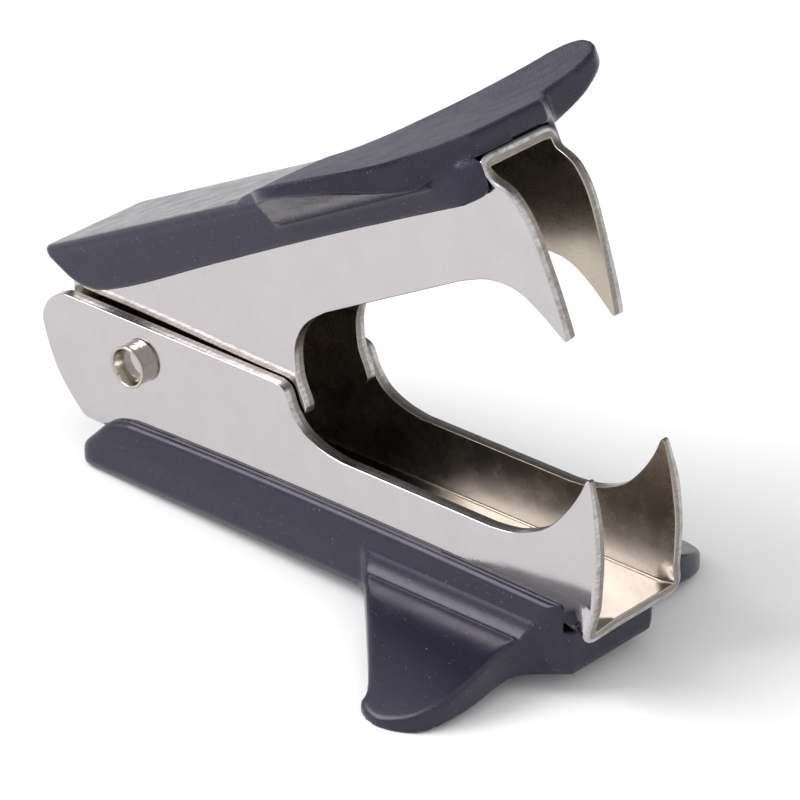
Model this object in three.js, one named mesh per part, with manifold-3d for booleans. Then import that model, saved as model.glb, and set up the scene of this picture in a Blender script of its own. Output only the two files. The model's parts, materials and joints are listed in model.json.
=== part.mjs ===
// Claw staple remover: two stamped steel jaws on a tubular rivet, each in a winged plastic cover, sprung open.
// Millimetres, +Z up, +X from the pivot to the teeth, +Y across. The table is z = 0.
// The origin is the middle of the flat heel under the lower cover; it stands on that heel and its two wing tips.
//
// Both halves are drawn in a frame of their own: x along the jaw, y across, w outwards from the pivot axis
// towards the back of the jaw. The upper half uses it as it is; the lower half turns it over about X.

import * as THREE from "three";
import { mergeVertices } from "three/addons/utils/BufferGeometryUtils.js";
import Module from "manifold-3d";

const wasm = await Module();
wasm.setup();

// Stance
const PITCH = THREE.MathUtils.degToRad(2.6); // lower jaw's rise towards the teeth, set by heel and wing tips
const OPEN = THREE.MathUtils.degToRad(27.5); // upper jaw's angle to the lower one at rest
const PIVOT_X = 3.37;
const PIVOT_Z = 11.72;

// Steel
const SHEET = 1.1;
const BEND = 1.3; // outer radius where a cheek meets its plate
const HOLE_R = 1.8;
const LOWER_JAW = { half: 5.6, plate: 7.95, lean: 0.03, leanZero: 6.85, leanFrom: 38, leanTo: 47 };
const UPPER_JAW = { half: 4.35, plate: 9.8, lean: 0.073, leanZero: 5.2, leanFrom: 36, leanTo: 46 };
const FOOT_FLARE = 0.85; // the lower teeth's feet spread outwards at the front edge
const EAR = 0.1; // the upper teeth's top corners are pushed outwards
const REAR_PINCH = 0.3; // the upper cheeks close in towards the rear

// Plastic
const COVER_HALF = 6.8; // half width of a cover's body
const TOP_HALF = 5.5; // half width of its outer flat
const SKIRT_FRONT = 47.5; // front end of the upper cover's skirts
const FIT = 0.3; // gap between plastic and steel
const SKIRT_TOP = 9.8; // the upper cover's nose is a square block above this and a curled skirt below
const LOWER_COVER = {
  back: 11.65,
  taper: 0,
  root: 8.7, // w of the crease at the wing's root
  crease: 7.9, // the crease's distance from the middle plane
  fillet: 1.4, // height of the fillet above the crease
  span: 19.4, // wing tip's distance from the middle plane
  rearX: -6.4,
  rootX: 27.2,
  tipX: 40.0,
  frontX: 44.4,
  noseX: 47.9, // front face of the nose
  noseHalf: 5.6,
};
const UPPER_COVER = {
  back: 11.7,
  taper: -0.018,
  root: 8.9,
  crease: 7.3,
  fillet: 0.4,
  span: 18.9,
  rearX: -5.6,
  rootX: 24.8,
  tipX: 38.6,
  frontX: 43.4,
  noseX: 46.55,
  noseHalf: 4.35,
};

// Rivet and spring
const RIVET_R = 1.75;
const RIVET_BORE = 1.25;
const WIRE_R = 0.45;
const COIL_R = 2.75;
const COIL_TURNS = 4.25;
const COIL_HALF = 2.35; // the coil runs from y = -COIL_HALF to +COIL_HALF

const smooth = (from, to, value) => THREE.MathUtils.smoothstep(value, from, to);

function solidOf(geometry) {
  const plain = geometry.index ? geometry.toNonIndexed() : geometry.clone();
  plain.deleteAttribute("normal");
  plain.deleteAttribute("uv");
  const merged = mergeVertices(plain, 1e-4);
  const vertProperties = merged.attributes.position.array;
  const triVerts = new Uint32Array(merged.index.array);
  return new wasm.Manifold(new wasm.Mesh({ numProp: 3, vertProperties, triVerts }));
}

function geometryOf(solid) {
  const mesh = solid.getMesh();
  const geometry = new THREE.BufferGeometry();
  geometry.setAttribute("position", new THREE.Float32BufferAttribute(mesh.vertProperties, 3));
  geometry.setIndex(new THREE.Uint32BufferAttribute(mesh.triVerts, 1));
  geometry.computeVertexNormals();
  return geometry;
}

// A prism of a side outline (x, w), running across the jaw from y = -half to y = +half.
function sidePrism(shape, half, curveSegments = 3) {
  const geometry = new THREE.ExtrudeGeometry(shape, { depth: 2 * half, bevelEnabled: false, curveSegments });
  geometry.rotateX(Math.PI / 2);
  geometry.translate(0, half, 0);
  return geometry;
}

// A prism of a cross-section (y, w), running along the jaw from x = from to x = to.
function lengthPrism(shape, from, to, steps = 1, curveSegments = 3) {
  const options = { depth: to - from, steps, bevelEnabled: false, curveSegments };
  const geometry = new THREE.ExtrudeGeometry(shape, options);
  geometry.rotateX(Math.PI / 2);
  geometry.rotateZ(Math.PI / 2);
  geometry.translate(from, 0, 0);
  return geometry;
}

// A prism of a plan outline (x, y), from w = from to w = to.
function planPrism(shape, from, to, curveSegments = 3) {
  const geometry = new THREE.ExtrudeGeometry(shape, { depth: to - from, bevelEnabled: false, curveSegments });
  geometry.translate(0, 0, from);
  return geometry;
}

function displace(geometry, move) {
  const position = geometry.attributes.position;
  const point = new THREE.Vector3();
  for (let i = 0; i < position.count; i += 1) {
    point.fromBufferAttribute(position, i);
    move(point);
    position.setXYZ(i, point.x, point.y, point.z);
  }
  return geometry;
}

const vectors = (pairs) => pairs.map(([a, b]) => new THREE.Vector2(a, b));

// A U of bent sheet: plate outwards at w = jaw.plate, cheeks reaching down to w = reach.
function channelSection(jaw, reach) {
  const { half, plate } = jaw;
  const inner = half - SHEET;
  const innerBend = BEND - SHEET;
  const step = 5;
  const shape = new THREE.Shape();
  shape.moveTo(half, reach);
  for (let w = reach + step; w < plate - BEND; w += step) shape.lineTo(half, w);
  shape.absarc(half - BEND, plate - BEND, BEND, 0, Math.PI / 2, false);
  shape.absarc(-half + BEND, plate - BEND, BEND, Math.PI / 2, Math.PI, false);
  for (let w = plate - BEND - step; w > reach; w -= step) shape.lineTo(-half, w);
  shape.lineTo(-half, reach);
  shape.lineTo(-inner, reach);
  for (let w = reach + step; w < plate - BEND; w += step) shape.lineTo(-inner, w);
  shape.absarc(-inner + innerBend, plate - SHEET - innerBend, innerBend, Math.PI, Math.PI / 2, true);
  shape.absarc(inner - innerBend, plate - SHEET - innerBend, innerBend, Math.PI / 2, 0, true);
  for (let w = plate - BEND - step; w > reach; w -= step) shape.lineTo(inner, w);
  shape.lineTo(inner, reach);
  shape.closePath();
  return shape;
}

// The teeth lean towards each other: the cheeks' offset grows with the distance from leanZero.
function leanOf(jaw, p) {
  return smooth(jaw.leanFrom, jaw.leanTo, p.x) * jaw.lean * (p.z - jaw.leanZero);
}

function lowerOffset(p) {
  return leanOf(LOWER_JAW, p) + FOOT_FLARE * smooth(47.6, 50.4, p.x) * smooth(4.6, 7.4, p.z);
}

function upperOffset(p) {
  const ear = EAR * smooth(44.6, 46.8, p.x) * smooth(7.4, 8.8, p.z);
  return leanOf(UPPER_JAW, p) + ear - REAR_PINCH * (1 - smooth(-2, 16, p.x));
}

// Moves the cheeks of a channel outwards by offset(p) and leaves the middle of its plate.
function spreadCheeks(jaw, offset) {
  return (p) => {
    if (Math.abs(p.y) < jaw.half - BEND - 0.01) return;
    p.y += Math.sign(p.y) * offset(p);
  };
}

function pivotHole(radius) {
  return solidOf(new THREE.CylinderGeometry(radius, radius, 30, 32));
}

// stations: the x of each cross-section of the bent sheet.
function makeJaw(jaw, outline, stations, offset) {
  const last = stations.length - 1;
  const sheet = lengthPrism(channelSection(jaw, -9), 0, last, last, 2);
  displace(sheet, (p) => {
    p.x = stations[Math.round(p.x)];
  });
  displace(sheet, spreadCheeks(jaw, offset));
  return solidOf(sheet).intersect(solidOf(sidePrism(outline, 9))).subtract(pivotHole(HOLE_R));
}

// Side outline of the lower jaw: rounded rear, straight edge, throat, flat, tooth, bowed front edge.
function lowerJawOutline() {
  const shape = new THREE.Shape();
  shape.moveTo(-5.2, 8.1);
  shape.splineThru(vectors([[-7.6, 6.1], [-9.7, 3.4], [-11.1, -0.4], [-10.7, -2.1], [-9.8, -3.1], [-8.4, -3.8]]));
  shape.lineTo(16.0, -3.8);
  shape.splineThru(vectors([[17.2, -3.3], [17.9, -1.7], [19.2, -0.2], [21.2, 0.7], [23.4, 1.1]]));
  shape.lineTo(39.6, 1.1);
  shape.splineThru(vectors([[42.2, 0.7], [45.0, -0.6], [46.9, -2.5], [48.2, -4.5], [49.0, -6.3]]));
  shape.lineTo(49.2, -6.3);
  shape.splineThru(vectors([[50.1, -3.0], [50.55, 0.4], [50.5, 4.0], [49.9, 8.1]]));
  shape.closePath();
  return shape;
}

// Side outline of the upper jaw: it has a lobe that hangs between the lower cheeks, ahead of the pivot.
function upperJawOutline() {
  const shape = new THREE.Shape();
  shape.moveTo(-5.0, 9.9);
  shape.lineTo(-5.6, 8.2);
  shape.splineThru(vectors([[-7.2, 4.8], [-8.0, 1.0], [-6.9, -3.0], [-3.6, -5.5], [0, -6.2]]));
  shape.splineThru(vectors([[8.0, -7.0], [15.8, -7.7]]));
  shape.splineThru(vectors([[16.9, -7.4], [17.2, -6.6], [17.4, -4.3], [18.6, -1.7], [20.6, -0.2], [23.4, 0.4]]));
  shape.lineTo(39.6, 0.5);
  shape.splineThru(vectors([[42.6, 0.1], [44.9, -1.2], [46.5, -3.4], [47.8, -6.3]]));
  shape.lineTo(48.0, -6.3);
  shape.splineThru(vectors([[48.8, -1.6], [49.2, 3.2], [48.8, 5.8], [48.1, 7.0], [47.2, 7.9]]));
  shape.lineTo(46.95, 8.8);
  shape.lineTo(46.95, 9.9);
  shape.closePath();
  return shape;
}

// Outward surface of a wing and the pad between the wings.
function wingBack(cover, x, y) {
  const rise = 0.4 * smooth(19, 29, x);
  const flare = Math.max(0, (Math.abs(y) - 6) / (cover.span - 6));
  return cover.back + cover.taper * Math.min(x, 19) + rise + 2.05 * flare ** 1.7;
}

// Inward surface of a wing: a steep fillet against the body, a crease, then a shallow slope to the rim.
function wingFace(cover, x, y) {
  const { root, crease, fillet, span } = cover;
  const away = Math.max(COVER_HALF, Math.abs(y));
  const out = Math.max(0, (away - crease) / (span - crease));
  const climb = fillet * (Math.max(0, crease - away) / (crease - COVER_HALF)) ** 1.8;
  const face = root - climb + (12.75 - root) * out ** 1.45;
  const ahead = cover === UPPER_COVER ? smooth(cover.frontX, cover.frontX + 1, x) : 0;
  return Math.min(face + ahead * (SKIRT_TOP - face), wingBack(cover, x, y) - 1.0);
}

function wingOutline(cover) {
  const { rootX, tipX, frontX, noseX, noseHalf, span } = cover;
  const rim = [
    [rootX + 9.0, span - 2.9],
    [tipX - 2.6, span - 0.7],
    [tipX - 0.2, span],
    [tipX + 2.3, span - 1.1],
    [frontX - 0.7, span - 3.1],
    [frontX, span - 6.2],
  ];
  const shape = new THREE.Shape();
  shape.moveTo(rootX - 7, 0);
  shape.lineTo(rootX - 7, 5.2);
  shape.lineTo(rootX - 1.6, 5.8);
  shape.lineTo(rootX, 7.0);
  shape.splineThru(vectors(rim));
  shape.lineTo(frontX, 9.2);
  shape.splineThru(vectors([[frontX + 0.5, 7.7], [frontX + 1.6, 6.5], [noseX - 0.4, noseHalf]]));
  shape.lineTo(noseX - 0.4, -noseHalf);
  shape.splineThru(vectors([[frontX + 1.6, -6.5], [frontX + 0.5, -7.7], [frontX, -9.2]]));
  shape.lineTo(frontX, 6.2 - span);
  shape.splineThru(vectors(rim.map(([x, y]) => [x, -y]).reverse().slice(1)));
  shape.lineTo(rootX, -7.0);
  shape.lineTo(rootX - 1.6, -5.8);
  shape.lineTo(rootX - 7, -5.2);
  shape.closePath();
  return shape;
}

function makeWings(cover) {
  const columns = 12;
  const length = 34;
  const { crease } = cover;
  const outer = [20.1, 19, 17.8, 16.4, 15, 13.5, 12, 10.5, 9.2];
  const half = [...outer, crease, (crease + COVER_HALF) / 2, COVER_HALF, 6];
  const rows = [...half.map((y) => -y), 0, ...half.toReversed()];
  const slab = new THREE.BoxGeometry(length, rows.length - 1, 2, columns, rows.length - 1, 1);
  slab.translate(16 + length / 2, (rows.length - 1) / 2, 0);
  displace(slab, (p) => {
    p.y = rows[Math.round(p.y)];
    p.z = p.z > 0 ? wingBack(cover, p.x, p.y) : wingFace(cover, p.x, p.y);
  });
  return solidOf(slab).intersect(solidOf(planPrism(wingOutline(cover), -5, 25)));
}

// Cross-section of a cover's body, solid right through: flat back, rounded shoulders, slightly barrelled sides.
function bodySection(cover) {
  const back = cover.back + 0.6;
  const shape = new THREE.Shape();
  shape.moveTo(-6.3, 4);
  shape.splineThru(vectors([[-6.6, 6.6], [-COVER_HALF, 8.4], [-COVER_HALF, 10.2], [-6.7, cover.back - 0.55]]));
  shape.splineThru(vectors([[-6.3, cover.back - 0.15], [-TOP_HALF, cover.back + 0.02]]));
  shape.lineTo(-TOP_HALF + 0.8, back);
  shape.lineTo(TOP_HALF - 0.8, back);
  shape.lineTo(TOP_HALF, cover.back + 0.02);
  shape.splineThru(vectors([[6.3, cover.back - 0.15], [6.7, cover.back - 0.55]]));
  shape.splineThru(vectors([[COVER_HALF, 10.2], [COVER_HALF, 8.4], [6.6, 6.6], [6.3, 4]]));
  shape.closePath();
  return shape;
}

// Plan outline of a body: near and far are the front corners (x, |y|) on the -Y and the +Y side.
function bodyPlan({ rearX, noseX }, near, far) {
  const corner = 2.2;
  const shape = new THREE.Shape();
  shape.moveTo(rearX, 0);
  shape.lineTo(rearX, -7 + corner);
  shape.absarc(rearX + corner, -7 + corner, corner, Math.PI, 1.5 * Math.PI, false);
  shape.lineTo(noseX - 3.4, -7);
  shape.splineThru(vectors(near.map(([x, y]) => [x, -y])));
  shape.lineTo(...far.at(-1));
  shape.splineThru(vectors([...far.slice(0, -1).reverse(), [noseX - 3.4, 7]]));
  shape.lineTo(rearX + corner, 7);
  shape.absarc(rearX + corner, 7 - corner, corner, Math.PI / 2, Math.PI, false);
  shape.closePath();
  return shape;
}

// Side outline of the lower cover: the skirt's edge runs along the cheeks, the floor is flat.
function lowerCoverOutline() {
  const { back, rearX, noseX } = LOWER_COVER;
  const shape = new THREE.Shape();
  shape.moveTo(rearX + 0.6, back);
  shape.lineTo(rearX, back - 0.6);
  shape.splineThru(vectors([[-6.2, 9.7], [-4.6, 8.1], [-2.9, 6.5], [-1.0, 5.8], [1.5, 5.6]]));
  shape.splineThru(vectors([[14, 5.3], [30, 5.25], [noseX, 5.45]]));
  shape.lineTo(noseX + 1, 5.45);
  shape.lineTo(noseX + 1, back);
  shape.closePath();
  return shape;
}

// Side outline of the upper cover: a narrower skirt whose front end wraps round behind the teeth.
function upperCoverOutline() {
  const { back, taper, rearX } = UPPER_COVER;
  const shape = new THREE.Shape();
  shape.moveTo(rearX + 0.3, back + (rearX + 0.3) * taper);
  shape.lineTo(rearX, back - 0.35);
  shape.splineThru(vectors([[-4.2, 10.4], [-3.5, 9.5], [-2.7, 8.5], [-1.2, 7.4], [0.8, 6.8], [6.0, 6.6]]));
  shape.splineThru(vectors([[16, 6.8], [32, 6.85], [45.4, 6.6]]));
  shape.splineThru(vectors([[46.6, 6.8], [47.3, 7.5], [SKIRT_FRONT, 8.6]]));
  shape.lineTo(SKIRT_FRONT, back + 19 * taper);
  shape.lineTo(19, back + 19 * taper);
  shape.closePath();
  return shape;
}

// The room that the steel takes up in a cover, with FIT all round, open on the jaw's side.
// spread: how much the cheeks widen ahead of x = mouthX.
function steelRoom(jaw, rearX, mouthX, spread) {
  const top = jaw.plate + FIT;
  const wide = jaw.half + FIT;
  const room = new THREE.Shape();
  room.moveTo(rearX, top);
  room.lineTo(rearX - 3.2, top - 3.1);
  room.lineTo(rearX - 12, top - 3.1);
  room.lineTo(rearX - 12, -30);
  room.lineTo(60, -30);
  room.lineTo(60, top);
  room.closePath();
  const mouth = new THREE.BoxGeometry(20, 2 * (wide + spread), 30);
  mouth.translate(mouthX + 10, 0, top - 15);
  return solidOf(sidePrism(room, wide)).add(solidOf(mouth));
}

function makeCover(cover, outline, room, plan) {
  const section = solidOf(lengthPrism(bodySection(cover), -9, 52));
  const side = solidOf(sidePrism(outline, 9));
  return section.intersect(side).intersect(plan).add(makeWings(cover)).subtract(room);
}

// The half space below the table, in the lower half's own frame.
function belowTable() {
  const block = new THREE.BoxGeometry(200, 100, 40);
  block.translate(0, 0, 20);
  block.rotateY(-PITCH);
  block.translate(0, 0, PIVOT_Z / Math.cos(PITCH));
  return solidOf(block);
}

// Tubular rivet: a turned profile (radius, y) with a shoulder and a rolled lip at each end, open right through.
function makeRivet() {
  const cheek = LOWER_JAW.half + 0.05;
  const half = [
    [RIVET_R, 0],
    [RIVET_R, cheek],
    [2.0, cheek],
    [1.88, cheek + 0.25],
    [1.82, cheek + 0.7],
    [1.9, cheek + 0.88],
    [1.8, cheek + 1.06],
    [1.6, cheek + 1.08],
    [1.45, cheek + 0.9],
    [1.3, cheek + 0.4],
    [RIVET_BORE, cheek - 0.4],
    [RIVET_BORE, 0],
  ];
  const back = half.slice(1, -1).map(([r, y]) => [r, -y]).reverse();
  const profile = [...half, ...back, half[0]];
  return new THREE.LatheGeometry(vectors(profile), 32);
}

// Torsion spring: a coil round the rivet, one leg lying on the lower plate and one under the upper plate.
function makeSpring() {
  const lowerLeg = new THREE.Vector3(13, -COIL_HALF, -(LOWER_JAW.plate - SHEET) + WIRE_R + 0.12);
  const reach = new THREE.Vector3(13, 0, UPPER_JAW.plate - SHEET - WIRE_R - 0.12);
  reach.applyAxisAngle(new THREE.Vector3(0, 1, 0), -OPEN);
  const upperLeg = new THREE.Vector3(reach.x, COIL_HALF, reach.z);
  const tangentAngle = (end, side) => {
    const distance = Math.hypot(end.x, end.z);
    return Math.atan2(end.z, end.x) + side * Math.acos(COIL_R / distance);
  };
  const start = tangentAngle(lowerLeg, -1);
  let finish = tangentAngle(upperLeg, 1);
  while (finish > start - 2 * Math.PI * (COIL_TURNS - 0.5)) finish -= 2 * Math.PI;
  const points = [];
  const onCoil = (share) => {
    const angle = start + (finish - start) * share;
    return new THREE.Vector3(COIL_R * Math.cos(angle), COIL_HALF * (2 * share - 1), COIL_R * Math.sin(angle));
  };
  for (let i = 0; i <= 4; i += 1) points.push(lowerLeg.clone().lerp(onCoil(0), i / 4.6));
  for (let i = 0; i <= 96; i += 1) points.push(onCoil(i / 96));
  for (let i = 4; i >= 0; i -= 1) points.push(upperLeg.clone().lerp(onCoil(1), i / 4.6));
  const path = new THREE.CatmullRomCurve3(points, false, "centripetal");
  const wire = new THREE.Shape().absarc(0, 0, WIRE_R, 0, 2 * Math.PI, false);
  return new THREE.ExtrudeGeometry(wire, { steps: 132, curveSegments: 4, bevelEnabled: false, extrudePath: path });
}

function part(name, geometry, color, roughness, metalness) {
  const material = new THREE.MeshStandardMaterial({ color, roughness, metalness });
  const mesh = new THREE.Mesh(geometry, material);
  mesh.name = name;
  return mesh;
}

const noseCorner = ({ noseX, noseHalf }) => [[noseX - 1.5, 6.7], [noseX - 0.4, noseHalf + 0.75], [noseX, noseHalf]];
const square = noseCorner(LOWER_COVER);
const block = noseCorner(UPPER_COVER);
const nearCurl = [[SKIRT_FRONT - 2.3, 6.5], [SKIRT_FRONT - 0.9, 5.7], [SKIRT_FRONT, 4.6]];
const farCurl = [[SKIRT_FRONT - 2.5, 6.3], [SKIRT_FRONT - 1.6, 5.6], [SKIRT_FRONT - 1.3, 4.6]];
const lowerPlan = solidOf(planPrism(bodyPlan(LOWER_COVER, square, square), 0, 20));
const upperSkirtPlan = solidOf(planPrism(bodyPlan(UPPER_COVER, nearCurl, farCurl), 0, SKIRT_TOP));
const upperBlockPlan = solidOf(planPrism(bodyPlan(UPPER_COVER, block, block), SKIRT_TOP - 0.01, 20));
const lowerRoom = steelRoom(LOWER_JAW, -5.8, 46.6, 0.25);
const upperRoom = steelRoom(UPPER_JAW, -5.3, 40, 0.35);
const lowerCover = makeCover(LOWER_COVER, lowerCoverOutline(), lowerRoom, lowerPlan).subtract(belowTable());
const upperPlan = upperSkirtPlan.add(upperBlockPlan);
const upperCover = makeCover(UPPER_COVER, upperCoverOutline(), upperRoom, upperPlan);
const lowerStations = [-14, 38, 40, 42, 44, 45.5, 47, 48.2, 49.4, 50.6, 52];
const upperStations = [-14, -2, 2.5, 7, 11.5, 16, 36, 38.5, 41, 43.5, 44.6, 45.7, 46.8, 49, 52];
const lowerJaw = makeJaw(LOWER_JAW, lowerJawOutline(), lowerStations, lowerOffset);
const upperJaw = makeJaw(UPPER_JAW, upperJawOutline(), upperStations, upperOffset);

const lowerHalf = new THREE.Group();
lowerHalf.rotation.x = Math.PI;
lowerHalf.add(part("lower_jaw", geometryOf(lowerJaw), 0xcfcbcc, 0.22, 1));
lowerHalf.add(part("lower_cover", geometryOf(lowerCover), 0x4a4955, 0.45, 0));

const upperHalf = new THREE.Group();
upperHalf.rotation.y = -OPEN;
upperHalf.add(part("upper_jaw", geometryOf(upperJaw), 0xcfcbcc, 0.22, 1));
upperHalf.add(part("upper_cover", geometryOf(upperCover), 0x4a4955, 0.45, 0));

const group = new THREE.Group();
group.position.set(PIVOT_X, 0, PIVOT_Z);
group.rotation.y = -PITCH;
group.add(lowerHalf);
group.add(upperHalf);
group.add(part("pivot_rivet", makeRivet(), 0xb8b2aa, 0.25, 1));
group.add(part("torsion_spring", makeSpring(), 0x8d8a88, 0.35, 1));

export default group;
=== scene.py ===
import json
import math

import bpy
import numpy as np
from mathutils import Matrix, Vector
from mathutils.geometry import delaunay_2d_cdt


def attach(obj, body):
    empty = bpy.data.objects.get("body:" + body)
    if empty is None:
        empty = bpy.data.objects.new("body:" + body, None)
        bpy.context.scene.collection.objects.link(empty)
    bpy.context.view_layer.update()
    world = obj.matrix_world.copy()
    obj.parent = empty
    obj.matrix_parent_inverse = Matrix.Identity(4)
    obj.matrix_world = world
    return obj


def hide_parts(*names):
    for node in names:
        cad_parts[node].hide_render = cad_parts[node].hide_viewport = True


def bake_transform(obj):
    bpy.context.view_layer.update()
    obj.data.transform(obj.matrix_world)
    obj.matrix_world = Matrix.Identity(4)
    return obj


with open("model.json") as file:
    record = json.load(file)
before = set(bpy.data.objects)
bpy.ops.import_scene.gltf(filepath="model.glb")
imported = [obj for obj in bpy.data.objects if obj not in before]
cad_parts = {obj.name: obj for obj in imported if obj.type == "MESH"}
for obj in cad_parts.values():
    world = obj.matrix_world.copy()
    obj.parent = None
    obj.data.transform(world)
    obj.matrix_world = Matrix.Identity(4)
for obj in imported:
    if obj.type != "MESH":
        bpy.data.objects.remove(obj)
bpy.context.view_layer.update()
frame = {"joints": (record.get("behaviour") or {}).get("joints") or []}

# Lengths are in millimetres, in the frame of one half of the tool: x along the jaw from the pivot, y across
# it, w outwards to the back of the jaw. PLACE turns each half into the metres of the CAD frame.
MM = 0.001
PITCH = math.radians(2.6)   # the lower jaw rises towards its teeth
OPEN = math.radians(27.5)   # angle between the two jaws at rest
QUARTER = math.pi / 2
pivot = Vector(frame["joints"][0]["pos_m"])
STANCE = Matrix.Translation(pivot) @ Matrix.Rotation(-PITCH, 4, "Y")
PLACE = {
    "lower": STANCE @ Matrix.Rotation(math.pi, 4, "X") @ Matrix.Scale(MM, 4),
    "upper": STANCE @ Matrix.Rotation(-OPEN, 4, "Y") @ Matrix.Scale(MM, 4),
}

SHEET = 1.1                   # thickness of the steel
BEND = 1.3                    # outer radius of the bends between a plate and its cheeks
BEND_MID = BEND - SHEET / 2   # the same at the middle of the sheet
HOLE_R = 1.8                  # rivet hole
# half: half the outside width; plate: w of the plate's outer face; front and rear: x of the plate's two ends
LOWER_JAW = dict(half=5.6, plate=7.95, front=50.2, rear=-5.2)
UPPER_JAW = dict(half=4.35, plate=9.8, front=46.95, rear=-5.6)


def smoothstep(a, b, v):
    t = np.clip((v - a) / (b - a), 0, 1)
    return t * t * (3 - 2 * t)


def spline(points, per=24):
    """A uniform Catmull-Rom curve through the points."""
    p = np.array(points, float)
    t = np.linspace(0, 1, per, endpoint=False)[:, None]
    n = len(p)
    out = []
    for i in range(n - 1):
        p0, p1, p2, p3 = p[max(i - 1, 0)], p[i], p[i + 1], p[min(i + 2, n - 1)]
        v0, v1 = (p2 - p0) / 2, (p3 - p1) / 2
        cubic = (2 * p1 - 2 * p2 + v0 + v1) * t**3
        square = (-3 * p1 + 3 * p2 - 2 * v0 - v1) * t**2
        out.append(cubic + square + v0 * t + p1)
    out.append(p[-1:])
    return np.concatenate(out)


def resample(points, spacing):
    """The same polyline with evenly spaced points."""
    p = np.array(points, float)
    steps = np.linalg.norm(np.diff(p, axis=0), axis=1)
    p = p[np.concatenate([[True], steps > 1e-9])]
    s = np.concatenate([[0], np.cumsum(np.linalg.norm(np.diff(p, axis=0), axis=1))])
    n = max(2, int(round(s[-1] / spacing)) + 1)
    u = np.linspace(0, s[-1], n)
    return np.stack([np.interp(u, s, p[:, k]) for k in range(p.shape[1])], 1)


def new_object(name, verts, faces, normals=None, materials=(), indices=None):
    mesh = bpy.data.meshes.new(name)
    mesh.from_pydata([tuple(v) for v in verts], [], faces)
    for material in materials:
        mesh.materials.append(material)
    if indices is not None:
        mesh.polygons.foreach_set("material_index", np.asarray(indices, np.int32))
    mesh.polygons.foreach_set("use_smooth", np.ones(len(mesh.polygons), bool))
    mesh.update()
    if normals is not None:
        mesh.normals_split_custom_set_from_vertices([tuple(n) for n in normals])
    obj = bpy.data.objects.new(name, mesh)
    bpy.context.scene.collection.objects.link(obj)
    return obj


def transformed(matrix, points, normals):
    m = np.array(matrix)
    p = points @ m[:3, :3].T + m[:3, 3]
    n = normals @ m[:3, :3].T
    return p, n / np.maximum(np.linalg.norm(n, axis=1, keepdims=True), 1e-12)


# ---------------------------------------------------------------- materials


def nodes_of(name):
    material = bpy.data.materials.new(name)
    material.use_nodes = True
    tree = material.node_tree
    tree.nodes.clear()
    out = tree.nodes.new("ShaderNodeOutputMaterial")
    shader = tree.nodes.new("ShaderNodeBsdfPrincipled")
    tree.links.new(shader.outputs[0], out.inputs[0])
    return material, tree, shader


def coords(tree, scale=1000.0):
    """Object coordinates, in millimetres unless another scale is given."""
    tex = tree.nodes.new("ShaderNodeTexCoord")
    return stretched(tree, tex.outputs["Object"], (scale, scale, scale))


def stretched(tree, vector, scale):
    mapping = tree.nodes.new("ShaderNodeMapping")
    mapping.inputs["Scale"].default_value = scale
    tree.links.new(vector, mapping.inputs[0])
    return mapping.outputs[0]


def noise(tree, vector, scale, detail=2.0, rough=0.5):
    """Fractal noise; in millimetre coordinates the scale is its waves per millimetre."""
    n = tree.nodes.new("ShaderNodeTexNoise")
    n.inputs["Scale"].default_value = scale
    n.inputs["Detail"].default_value = detail
    n.inputs["Roughness"].default_value = rough
    tree.links.new(vector, n.inputs["Vector"])
    return n.outputs["Fac"]


def ramp(tree, value, low, high, out_low=0.0, out_high=1.0):
    m = tree.nodes.new("ShaderNodeMapRange")
    m.inputs["From Min"].default_value = low
    m.inputs["From Max"].default_value = high
    m.inputs["To Min"].default_value = out_low
    m.inputs["To Max"].default_value = out_high
    tree.links.new(value, m.inputs["Value"])
    return m.outputs[0]


def math_node(tree, op, a, b):
    m = tree.nodes.new("ShaderNodeMath")
    m.operation = op
    for i, v in enumerate((a, b)):
        if isinstance(v, (int, float)):
            m.inputs[i].default_value = v
        else:
            tree.links.new(v, m.inputs[i])
    return m.outputs[0]


def mix_color(tree, fac, a, b):
    """A mix of two colours, each a tuple or a socket."""
    m = tree.nodes.new("ShaderNodeMix")
    m.data_type = "RGBA"
    tree.links.new(fac, m.inputs[0])
    for socket, v in ((m.inputs[6], a), (m.inputs[7], b)):
        if isinstance(v, tuple):
            socket.default_value = (*v, 1.0)
        else:
            tree.links.new(v, socket)
    return m.outputs[2]


def bump(tree, height, strength, distance, normal=None):
    """Relief of the given depth in metres."""
    b = tree.nodes.new("ShaderNodeBump")
    b.inputs["Strength"].default_value = strength
    b.inputs["Distance"].default_value = distance
    tree.links.new(height, b.inputs["Height"])
    if normal is not None:
        tree.links.new(normal, b.inputs["Normal"])
    return b.outputs[0]


def shaded(base, share):
    return tuple(c * share for c in base)


def steel_material(name, base, dark, rough_low, rough_high, speckle=1.0):
    """Bright nickel plate: clouded roughness, faint waviness, fine pits and specks."""
    material, tree, shader = nodes_of(name)
    at = coords(tree)
    clouds = noise(tree, at, scale=0.35, detail=3.0)
    fine = noise(tree, at, scale=14.0, detail=2.0, rough=0.6)
    specks = ramp(tree, noise(tree, at, scale=5.5, detail=1.0, rough=0.4), 0.70, 0.76)
    specks = math_node(tree, "MULTIPLY", specks, 0.3 * speckle)
    tone = mix_color(tree, ramp(tree, clouds, 0.35, 0.65), base, shaded(base, 0.96))
    tree.links.new(mix_color(tree, specks, tone, dark), shader.inputs["Base Color"])
    shader.inputs["Metallic"].default_value = 1.0
    broad = math_node(tree, "MULTIPLY", clouds, 0.6)
    mixed = math_node(tree, "ADD", broad, math_node(tree, "MULTIPLY", fine, 0.4))
    tree.links.new(ramp(tree, mixed, 0.3, 0.7, rough_low, rough_high), shader.inputs["Roughness"])
    wave = bump(tree, noise(tree, at, scale=0.22, detail=1.0), strength=0.08, distance=0.0003)
    pits = noise(tree, at, scale=9.0, detail=3.0, rough=0.6)
    grain = bump(tree, pits, strength=0.06, distance=0.00002 * speckle, normal=wave)
    tree.links.new(grain, shader.inputs["Normal"])
    return material


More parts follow.
